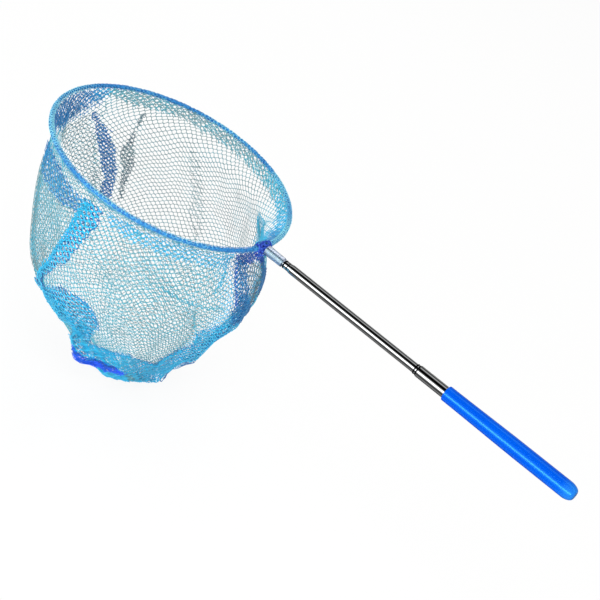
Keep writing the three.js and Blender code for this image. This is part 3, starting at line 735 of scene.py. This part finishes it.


# Where the net lies double or threefold: an outline of (degrees from the neck, depth) places, then for each layer
# its dye and painted shade, its lift off the wall, its tilt, its pitch and how thick its yarn is.
NEAR_LAYERS = [
    # band 1
    ([(88, 14), (92, 26), (94, 36), (96, 49), (100, 67), (106, 87), (122, 119), (118, 120), (98, 83),
      (95, 72), (90, 62), (88, 51), (85, 37), (80, 24), (78, 15)],
     [(0.76, 0.5, 20, 0.95, 1.15), (0.7, 1.1, -30, 1.0, 0.9), (0.48, 1.9, -7, 1.12, 1.7)]),
    # band 1 edge
    ([(88, 16), (92, 26), (94, 36), (96, 49), (100, 67), (106, 87), (113, 105), (102, 83), (96, 62),
      (92, 45), (88, 32), (84, 20)],
     [(0.46, 2.4, 14, 1.3, 1.0)]),
    # band 2
    ([(126, 125), (123, 130), (102, 119), (98, 125), (88, 121), (81, 119), (80, 126), (87, 138),
      (95, 147), (91, 149), (82, 149), (80, 151), (73, 139), (73, 135), (68, 120), (64, 104), (65, 98),
      (69, 90), (74, 83), (81, 82), (89, 86), (102, 105)],
     [(0.76, 0.5, 20, 0.95, 1.15), (0.66, 1.1, -30, 1.05, 0.9), (0.48, 1.9, -7, 1.12, 1.7)]),
    # band 2 middle
    ([(124, 129), (103, 119), (90, 118), (80, 115), (78, 127), (84, 140), (76, 134), (70, 113),
      (74, 105), (80, 98), (90, 100), (110, 117)],
     [(0.47, 2.5, 10, 1.25, 1.2)]),
    # bottom
    ([(73, 136), (60, 128), (50, 124), (44, 117), (38, 124), (32, 128), (24, 134), (22, 118),
      (17, 111), (14, 104), (10, 98), (16, 83), (16, 74), (10, 69), (6, 65), (4, 63), (-23, 79),
      (-7, 74), (0, 79), (4, 85), (0, 107), (-3, 125), (-1, 128), (6, 124), (9, 126), (10, 142),
      (7, 159), (10, 164), (18, 168), (34, 163), (45, 148), (52, 145), (65, 148), (71, 147), (79, 151)],
     [(0.62, 0.5, 20, 1.05, 1.0), (0.5, 1.1, -30, 1.2, 0.9), (0.49, 1.8, -7, 1.15, 1.5)]),
    # lip
    ([(90, 147), (82, 148), (80, 151), (72, 147), (65, 148), (53, 145), (45, 148), (50, 152),
      (61, 156), (75, 157), (84, 156), (90, 157), (93, 155)],
     [(1.0, 0.8, 3, 0.75, 1.3), (0.94, 1.4, -9, 0.75, 1.3), (0.97, 2.2, -7, 0.95, 1.4)]),
    # lip edge
    ([(94, 151), (93, 155), (90, 157), (84, 156), (75, 157), (61, 156), (50, 152), (44, 155),
      (46, 164), (66, 167), (79, 166), (82, 161), (86, 156), (91, 157)],
     [(0.5, 0.6, 5, 0.85, 1.0), (0.5, 1.3, -7, 1.0, 1.2)]),
    # right
    ([(4, 17), (4, 23), (5, 28), (6, 36), (4, 47), (4, 55), (3, 65), (-8, 70), (-25, 75), (-13, 52),
      (-7, 39), (-6, 31), (-7, 26), (-8, 21)],
     [(0.74, 0.5, 20, 0.9, 1.25), (0.62, 1.4, -7, 1.05, 1.35)]),
    # right low
    ([(6, 33), (4, 47), (4, 55), (3, 65), (-8, 70), (-25, 75), (-7, 44)],
     [(0.66, 2.2, 18, 1.0, 1.1)]),
    # airy
    ([(-8, 20), (-6, 31), (-10, 46), (-24, 75), (-27, 61), (-36, 61), (-38, 55), (-34, 41), (-28, 28)],
     [(0.04, 0.6, 10, 1.35, 1.1)]),
    # right rim
    ([(-21, 23), (-22, 31), (-24, 41), (-22, 52), (-36, 61), (-38, 54), (-37, 43), (-30, 29)],
     [(0.7, 1.0, 30, 1.0, 0.9)]),
    # below knot
    ([(5, 12), (-6, 15), (-21, 21), (-30, 29), (-15, 23), (-9, 22), (-1, 21), (3, 18)],
     [(0.9, 0.8, 0, 0.75, 1.25), (0.84, 1.5, 40, 0.75, 1.2)]),
    # upper left
    ([(142, 23), (121, 16), (105, 16), (94, 17), (85, 17), (92, 25), (101, 31), (115, 36), (130, 35),
      (136, 30)],
     [(0.7, 0.6, 10, 1.0, 1.6), (0.6, 1.4, -20, 1.1, 1.15)]),
    # lower wall
    ([(57, 10), (34, 17), (14, 18), (10, 24), (10, 41), (13, 62), (26, 80), (40, 90), (56, 101), (66, 92),
      (69, 64), (77, 47), (72, 34), (63, 34), (53, 25), (50, 12)],
     [(0.24, 0.6, 22, 1.6, 0.8)]),
    # below the rim
    ([(77, 12), (58, 11), (40, 7), (16, 10), (6, 15), (10, 21), (32, 20), (48, 20), (61, 21), (74, 20)],
     [(0.5, 0.6, 15, 0.9, 1.15)]),
    # inside the left end of the rim
    ([(140, 3), (165, 3), (192, 3), (190, 14), (178, 20), (163, 24), (150, 18)],
     [(0.64, -2.3, 25, 1.1, 1.05)]),
    # left
    ([(138, 28), (136, 52), (134, 71), (130, 93), (128, 110), (122, 117), (106, 87), (100, 67),
      (96, 49), (92, 26), (85, 17), (105, 16)],
     [(0.16, 1.1, 25, 1.1, 0.95)]),
]
FAR_LAYERS = [
    # behind the left end of the hem
    ([(164, 29), (174, 26), (186, 19), (194, 37), (197, 62), (201, 85), (195, 82), (186, 69), (178, 53)],
     [(0.12, -0.8, 30, 1.05, 0.95)]),
    # soft line
    ([(246, 24), (251, 20), (255, 41), (258, 72), (262, 93), (257, 97), (250, 75), (249, 47)],
     [(0.12, -0.6, 15, 1.6, 0.8)]),
    # strip
    ([(186, 19), (192, 27), (194, 37), (196, 45), (197, 55), (198, 64), (200, 71), (198, 81),
      (198, 92), (204, 94), (206, 76), (207, 65), (206, 56), (206, 45), (203, 38), (199, 30),
      (190, 19)],
     [(0.74, -0.7, 0, 0.8, 1.35), (0.68, -1.5, 25, 0.85, 1.25)]),
    # grey: a painted shadow line, in dark grey yarn
    ([(216, 13), (217, 27), (211, 42), (209, 50), (210, 62), (209, 72), (210, 90), (212, 90),
      (212, 78), (214, 68), (217, 57), (217, 47), (216, 36), (218, 23), (218, 12)],
     [(0.04, -0.8, 20, 0.9, 1.15), (0.08, -1.4, -30, 0.95, 1.1)]),
    # gather
    ([(308, 14), (301, 28), (298, 46), (351, 7), (346, 5), (323, 13)],
     [(0.4, -0.8, 20, 1.0, 1.1)]),
    # right end
    ([(289, 6), (303, 5), (316, 6), (330, 7), (336, 13), (348, 3), (338, 1), (322, 1), (306, 1),
      (292, 1), (284, 2)],
     [(0.42, -0.8, 15, 1.1, 1.1)]),
]
# Narrow rolled folds, as (degrees, depth, width), then dye and painted shade, lift, thickness and pitch.
NEAR_ROLLS = [
    ([(3, 19, 1.4), (4, 24, 1.8), (6, 29, 1.8), (6, 36, 1.8), (4, 47, 1.4)], 0.86, 1.9, 1.6, 0.6),
    ([(5, 13, 3.8), (12, 24, 3.8), (16, 31, 3.8), (20, 39, 3.8)], 0.4, 0.5, 0.8, 0.9),
    ([(47, 38, 2.6), (34, 45, 3.6), (21, 49, 3.6), (8, 49, 3)], 0.32, 0.5, 0.8, 1.0),
    ([(28, 52, 2.3), (21, 70, 2.3), (10, 96, 2.3)], 0.32, 0.5, 0.8, 1.0),
    ([(67, 10, 4), (62, 12, 6), (56, 17, 3)], 0.36, 0.6, 0.8, 0.9),
    ([(94, 149, 1.8), (82, 148, 2.2), (80, 151, 2.2), (72, 147, 2.2), (65, 148, 2.0),
      (53, 145, 1.6)], 0.8, 2.4, 1.6, 0.6),
    ([(86, 14, 3), (91, 26, 3.4), (93, 35, 3.6), (96, 48, 3.6), (99, 66, 3.4), (104, 85, 3),
      (120, 116, 2.4)], 0.48, 2.0, 2.0, 0.6),
    ([(125, 120, 2), (123, 130, 3), (102, 119, 3), (98, 125, 3), (87, 121, 2.6), (82, 122, 2.4),
      (82, 128, 2.2)], 0.48, 0.9, 2.2, 0.6),
    ([(82, 128, 2.4), (87, 138, 2.6), (95, 147, 2.6), (94, 152, 2.2)], 0.5, 0.9, 2.2, 0.6),
    ([(44, 160, 2.4), (34, 163, 3), (18, 168, 3), (10, 163, 3), (6, 159, 3), (11, 140, 3), (9, 127, 3),
      (6, 124, 2.6), (0, 127, 2.4)], 0.48, 0.6, 2.4, 0.6),
    ([(0, 127, 2.4), (-2, 123, 2.6), (0, 107, 3), (4, 85, 3), (0, 79, 3), (-7, 74, 3),
      (-25, 80, 2.6)], 0.5, 0.6, 2.4, 0.6),
    ([(-24, 80, 1), (-24, 69, 1), (-26, 60, 1), (-36, 61, 1), (-38, 54, 1.3), (-34, 41, 1.5),
      (-27, 29, 1.5)], 0.72, 0.4, 1.2, 0.8),
    ([(64, 104, 2), (65, 98, 2.6), (69, 90, 3), (74, 83, 3), (81, 82, 2.4)], 0.6, 2.4, 1.4, 0.75),
    ([(31, 130, 2), (24, 134, 2.6), (22, 118, 3), (17, 111, 3), (14, 105, 2.4)], 0.46, 2.0, 1.6, 0.65),
]
FAR_ROLLS = [
    ([(218, 12, 1.6), (217, 24, 2), (214, 38, 3), (211, 46, 3)], 0.12, -0.6, 0.7, 1.3),
    ([(294, 1, 2), (306, 1, 3), (320, 1, 3.4), (334, 2, 3.4), (343, 4, 3)], 0.46, -0.8, 1.8, 0.75),
]
# The strip is pinched into ripples across it, one below the other.
FAR_ROLLS += [([(192 + 0.09 * depth, depth, 0.8), (204 + 0.03 * depth, depth + 1.5, 1.1)], 0.8, -1.9, 0.9, 0.7)
              for depth in range(30, 92, 5)]
near_folds = folds_piece("net_folds_near", flat_table(-55, 195, 145), NEAR_LAYERS, NEAR_ROLLS)
far_folds = folds_piece("net_folds_far", flat_table(150, 378, 275), FAR_LAYERS, FAR_ROLLS)
# Each wall's dye holds painted shade too: deeper blue towards the neck, and greyer on the far wall.
wall_piece("net_wall_near", -2, 197, 145, -7.0,
           (0, 8, 20, 92, 110, 130, 160, 195), (0.7, 0.5, 0.28, 0.27, 0.3, 0.34, 0.32, 0.2))
wall_piece("net_wall_far", 193, 362, 275, 8.0,
           (195, 205, 230, 300, 330, 360), (0.22, 0.16, 0.14, 0.16, 0.4, 0.7))


# ---- casing, hem and neck
# The casing ends 3 mm past the wire's leg, which lies 0.79 mm off the pole's axis.
NECK_JOIN = math.atan2(0.79 + 3, HOOP_CENTRE_X)


def tube_table(centre, across, upward, radius, sides):
    """Places and normals of a round tube along a line, one row for each of its points."""
    turns = np.linspace(0, 2 * math.pi, sides + 1)
    out = across[:, None, :] * np.cos(turns)[None, :, None] + upward[:, None, :] * np.sin(turns)[None, :, None]
    return np.concatenate([centre[:, None, :] + out * radius[:, None, None], out], axis=2)


# The wire lies near the top of its casing, which hangs on it and is a little fuller than the CAD's.
CASING_SAG = 0.25
CORE_SHIFT = 0.4
CORE_RADIUS, CORE_SIDES = 1.45, 18
COVER_RADIUS, COVER_SIDES, COVER_YARN = 2.0, 24, 0.8


def casing_pieces():
    """The casing: an inner layer of close cloth, and the net's own yarns wound over it."""
    count = 361
    turn = np.linspace(NECK_JOIN, 2 * math.pi - NECK_JOIN, count)
    outward = np.stack([-np.cos(turn), np.sin(turn), np.zeros(count)], axis=1)
    upward = np.tile([0.0, 0.0, 1.0], (count, 1))
    centre = HOOP_RADIUS * outward - CASING_SAG * upward
    wave = 0.06 * np.sin(np.linspace(0, 160, count)) + 0.04 * np.sin(np.linspace(0, 371, count))
    core = tube_table(centre + CORE_SHIFT * outward, outward, upward, CORE_RADIUS + wave, CORE_SIDES)
    # The strip is open along the seam at its foot, where its two edges go down into the hem.
    core = np.roll(core[:, :-1], 4, axis=1)
    sides = core.shape[1]
    i, s = np.meshgrid(np.arange(count - 1), np.arange(sides - 1), indexing="ij")
    first = i * sides + s
    faces = np.stack([first, first + sides, first + sides + 1, first + 1], axis=-1).reshape(-1, 4)
    cover = tube_table(centre, outward, upward, COVER_RADIUS + wave, COVER_SIDES)
    length = HOOP_RADIUS * (2 * math.pi - 2 * NECK_JOIN)
    round_length = 2 * math.pi * COVER_RADIUS
    starts, ends, sizes = honeycomb(0, round_length, length, 12.0, 0.78)
    more = honeycomb(0, round_length, length, -20.0, 0.7)

    def degrees_at(flat):
        return np.degrees(NECK_JOIN) + flat[:, 1] / length * (360 - 2 * np.degrees(NECK_JOIN))

    # Two stretches have a closer cover, which is paler.
    pale = np.interp(degrees_at(starts), (0, 95, 115, 140, 160, 285, 305, 335, 350), (0, 0, 1, 1, 0, 0, 1, 1, 0))
    more_turn = degrees_at(more[0])
    kept = ((more_turn > 100) & (more_turn < 152)) | (more_turn > 290)
    starts, ends, sizes = (np.concatenate([all_of, some[kept]]) for all_of, some in zip((starts, ends, sizes), more))
    pale = np.concatenate([pale, np.ones(kept.sum())])
    a, b = (bilinear(cover, flat[:, 1] / length * (count - 1), flat[:, 0] / round_length * COVER_SIDES)
            for flat in (starts, ends))
    dye_and_shade = 0.55 + 0.35 * np.sin(starts[:, 1] * 0.06) * np.sin(starts[:, 1] * 0.023 + 1) - 0.3 * pale
    core_points = core[:, :, :3].reshape(-1, 3)
    return (core_points, faces), yarns(a[:, :3], b[:, :3], a[:, 3:], sizes * COVER_YARN, dye_and_shade)


(core_points, core_faces), (cover_points, cover_faces, cover_dye) = casing_pieces()
casing_core = mesh_piece("casing_cloth", to_frame(core_points), core_faces.tolist(), smooth=True)
finish_piece(casing_core, casing_cloth, "net_head", "casing", "rim_casing")
casing_cover = mesh_piece("casing_yarns", to_frame(cover_points), cover_faces.tolist(), cover_dye)
finish_piece(casing_cover, casing_yarn, "net_head", "casing", "rim_casing")


def hem_netting(lift, usual, deepest, wave_seed, tilt_degrees, pitch, thick):
    """A band of the hem below the casing, on the bag's inner side, with a wavy lower edge."""
    phase = np.random.default_rng(wave_seed).uniform(0, 6.28, 4)
    table, low, _ = flat_table(0, 360, 180)
    table = table[:HEM_ROWS]
    table[:, :, :3] -= table[:, :, 3:6] * lift
    a, b, sizes, depth = laid((table, low, deepest * 1.3), tilt_degrees, pitch)
    degrees = np.nan_to_num(a[:, 6])
    turn = np.radians(degrees)
    waves = sum(share * np.sin(count * turn + start) for share, count, start in zip(
        (0.5, 0.3, 0.2), (9, 19, 37), phase))
    edge = np.interp(degrees, HEM_PLACES, HEM_DEPTHS) * (usual / HEM_USUAL) + (deepest - usual) / 2 * waves
    keep = depth < edge
    dye_and_shade = np.interp(degrees, HEM_PLACES, HEM_DYES_AND_SHADES)
    return yarns(a[keep, :3], b[keep, :3], a[keep, 3:6], sizes[keep] * thick, dye_and_shade[keep])


# How deep the hem hangs below the casing, and how deep its dye and painted shade look, by the angle from the neck.
HEM_PLACES = (0, 40, 110, 150, 163, 178, 190, 196, 212, 229, 240, 275, 300, 320, 345, 360)
HEM_DEPTHS = (8, 10, 11, 18, 25, 20, 12, 8, 15, 14, 13, 14, 12, 10, 8, 8)
HEM_DYES_AND_SHADES = (0.85, 0.6, 0.6, 0.68, 0.7, 0.66, 0.5, 0.26, 0.22, 0.24, 0.2, 0.24, 0.34, 0.42, 0.6, 0.85)
HEM_USUAL = 14
HEM_ROWS = 40
hem_parts = joined([hem_netting(0.9, 13, 16, 3, 4.0, 1.0, 1.25), hem_netting(1.5, 12, 15, 4, -9.0, 1.15, 1.5)])
cloth_piece("net_hem", hem_parts)


def wound(line, radius, sides):
    """A round thread along a line of points in millimetres, closed at both ends: its corners and faces."""
    line = np.array(line)
    ahead = unit(np.gradient(line, axis=0))
    side = np.cross(ahead[0], [0.0, 0.0, 1.0])
    turn = np.arange(sides)[:, None] / sides * 2 * math.pi
    rings = []
    for place, along in zip(line, ahead):
        side = unit(side - along * side.dot(along))
        rings.append(place + radius * (np.cos(turn) * side + np.sin(turn) * np.cross(along, side)))
    cap = ahead[[0, -1]] * radius * 0.6
    points = np.vstack(rings + [line[:1] - cap[:1], line[-1:] + cap[1:]])
    last = (len(line) - 1) * sides
    shapes = []
    for first in range(0, last, sides):
        shapes += [(first + s, first + (s + 1) % sides, first + sides + (s + 1) % sides, first + sides + s)
                   for s in range(sides)]
    for s in range(sides):
        n = (s + 1) % sides
        shapes += [(n, s, last + sides), (last + s, last + n, last + sides + 1)]
    return points, shapes


def thread_piece(name, threads):
    """One piece of several closed threads."""
    vertices, polygons, base = [], [], 0
    for points, shapes in threads:
        vertices.append(to_frame(points))
        polygons += [tuple(v + base for v in shape) for shape in shapes]
        base += len(points)
    piece = mesh_piece(name, np.vstack(vertices), polygons)
    bpy.ops.object.select_all(action="DESELECT")
    piece.select_set(True)
    bpy.context.view_layer.objects.active = piece
    bpy.ops.object.mode_set(mode="EDIT")
    bpy.ops.mesh.select_all(action="SELECT")
    bpy.ops.mesh.normals_make_consistent(inside=False)
    bpy.ops.object.mode_set(mode="OBJECT")
    bpy.ops.object.shade_smooth()
    finish_piece(piece, tie_thread, "net_head", "tie", "neck_tie")


LASHING_RADIUS = 0.6
CROSSING_TURNS, ARM_TURNS, ARM_PITCH = 0.25, 2.5, 1.8


def lashing_line():
    """The tie's winding, as in the CAD part: two arms of turns with a crossing between them."""
    wind = CASING_RADIUS + 0.3 + LASHING_RADIUS
    cross_half = HOOP_RADIUS * math.sin(NECK_JOIN) + LASHING_RADIUS
    half_turns = CROSSING_TURNS + ARM_TURNS
    points = []
    for turns in np.linspace(-half_turns, half_turns, 161):
        past = max(abs(turns) - CROSSING_TURNS, 0)
        crossed = min(abs(turns) / CROSSING_TURNS, 1)
        y = math.copysign(cross_half * crossed + ARM_PITCH * past, turns)
        angle = math.pi / 2 + turns * 2 * math.pi
        x = -math.sqrt(HOOP_RADIUS ** 2 - y ** 2)
        points.append((x + wind * math.cos(angle), y, wind * math.sin(angle)))
    return points


LOOP_COUNT, LOOP_POINTS = 30, 44


def knot_loops():
    """Loops of bunched net and thread that make the knot, drawn tight round the neck."""
    rng = np.random.default_rng(11)
    loops = []
    for _ in range(LOOP_COUNT):
        centre = np.array([-HOOP_RADIUS - 0.6, 0.0, -1.8]) + rng.normal(0, 1.0, 3) * (1.2, 2.2, 2.0)
        axis = unit(rng.normal(0, 1, 3) * (0.6, 1.0, 0.8))
        first = unit(np.cross(axis, [0.3, 0.2, 1.0]))
        second = np.cross(axis, first)
        wide = rng.uniform(2.4, 4.2)
        turn = np.linspace(0, 2 * math.pi * 1.15, LOOP_POINTS)
        line = centre + wide * (np.cos(turn)[:, None] * first + np.sin(turn)[:, None] * second * 0.8)
        line = line + axis * np.linspace(-0.5, 0.5, LOOP_POINTS)[:, None]
        loops.append(wound(line, rng.uniform(0.32, 0.5), 6))
    return loops


thread_piece("neck_lashing", [wound(lashing_line(), LASHING_RADIUS, 10)])
thread_piece("neck_knot", knot_loops())

# ---- floor, lights and reflections
FLOOR_Z = cad_corners[0][2] - 0.0006
STAGE_MIDDLE = (0.2, 0, 0)
bpy.ops.mesh.primitive_plane_add(size=16, location=STAGE_MIDDLE[:2] + (FLOOR_Z,))
floor = bpy.context.object
floor.name = "pale_floor"
made, tree, shader = material("pale_floor_paper", Base_Color=paint("#f2f2f0"), Roughness=0.9)
white = add(tree, "ShaderNodeEmission", {"Color": (1, 1, 1, 1), "Strength": 1.0})
mixed = add(tree, "ShaderNodeMixShader", {0: by_rays(tree, 0.3, 0.9), 1: shader.outputs[0], 2: white.outputs[0]})
tree.links.new(mixed.outputs[0], tree.nodes["Material Output"].inputs["Surface"])
floor.data.materials.append(made)

world = bpy.data.worlds.new("studio")
bpy.context.scene.world = world
world.use_nodes = True
sky = world.node_tree
sky.nodes["Background"].inputs["Color"].default_value = (1, 1, 1, 1)
sky.links.new(by_rays(sky, 0.72, 1.0), sky.nodes["Background"].inputs["Strength"])


def soft_lamp(name, place, aim, size, power):
    data = bpy.data.lights.new(name, "AREA")
    data.shape = "DISK"
    data.size = size
    data.energy = power
    lamp = linked(name, data)
    lamp.location = place
    lamp.rotation_euler = (Vector(aim) - Vector(place)).to_track_quat("-Z", "Y").to_euler()
    lamp.visible_glossy = False


soft_lamp("key_lamp", (-0.1, 0.9, 1.3), STAGE_MIDDLE, 0.9, 11)
soft_lamp("fill_lamp", (0.9, -0.9, 1.1), STAGE_MIDDLE, 1.0, 5)
soft_lamp("low_lamp", (0.1, 1.2, 0.0), (0.3, 0, -0.1), 0.7, 9)

# The studio's cards: white and black flags round the pole, as a half tunnel that only mirrors see. Their light
# by the angle round the pole's axis, from level on the camera's side, gives the steel its black and white lines.
CARD_BANDS = [
    (-180, 0.22), (-165, 0.26), (-135, 0.06), (-104, 0.05), (-84, 0.20), (-66, 0.26), (-48, 0.05), (-28, 0.05),
    (-18, 0.30), (-10, 0.85), (-2, 1.1), (1, 4.0), (14, 4.0), (18, 1.1), (26, 0.70), (33, 0.30), (40, 0.05), (46, 0.0),
    (80, 0.0), (88, 0.05), (97, 0.40), (106, 0.62), (114, 0.30), (122, 0.05), (138, 0.05), (150, 0.20), (165, 0.36),
    (180, 0.22),
]
CARD_PEAK = 4.5
bpy.ops.mesh.primitive_cylinder_add(
    vertices=96, radius=0.85, depth=2.6, end_fill_type="NGON", location=STAGE_MIDDLE,
    rotation=(0, math.pi / 2, 0))
tunnel = bpy.context.object
tunnel.name = "studio_cards"
bpy.ops.object.transform_apply()
for corner in tunnel.data.vertices:
    corner.co.z = max(corner.co.z, FLOOR_Z + 0.0003)
made = bpy.data.materials.new("studio_card")
made.use_nodes = True
tree = made.node_tree
tree.nodes.clear()
bands = toned_round_pole(tree, [(degrees, [v / CARD_PEAK] * 3 + [1]) for degrees, v in CARD_BANDS])
glow = add(tree, "ShaderNodeEmission", {"Color": bands, "Strength": CARD_PEAK})
add(tree, "ShaderNodeOutputMaterial", {"Surface": glow.outputs[0]})
tunnel.data.materials.append(made)
# Its ends are black flags, which draw dark rings on beads and shoulders.
tunnel.data.materials.append(material("black_flag", Base_Color=paint("#000000"), Roughness=1.0)[0])
for face in tunnel.data.polygons:
    face.material_index = int(abs(face.normal.x) > 0.5)
for rays in ("camera", "diffuse", "transmission", "shadow", "volume_scatter"):
    setattr(tunnel, "visible_" + rays, False)
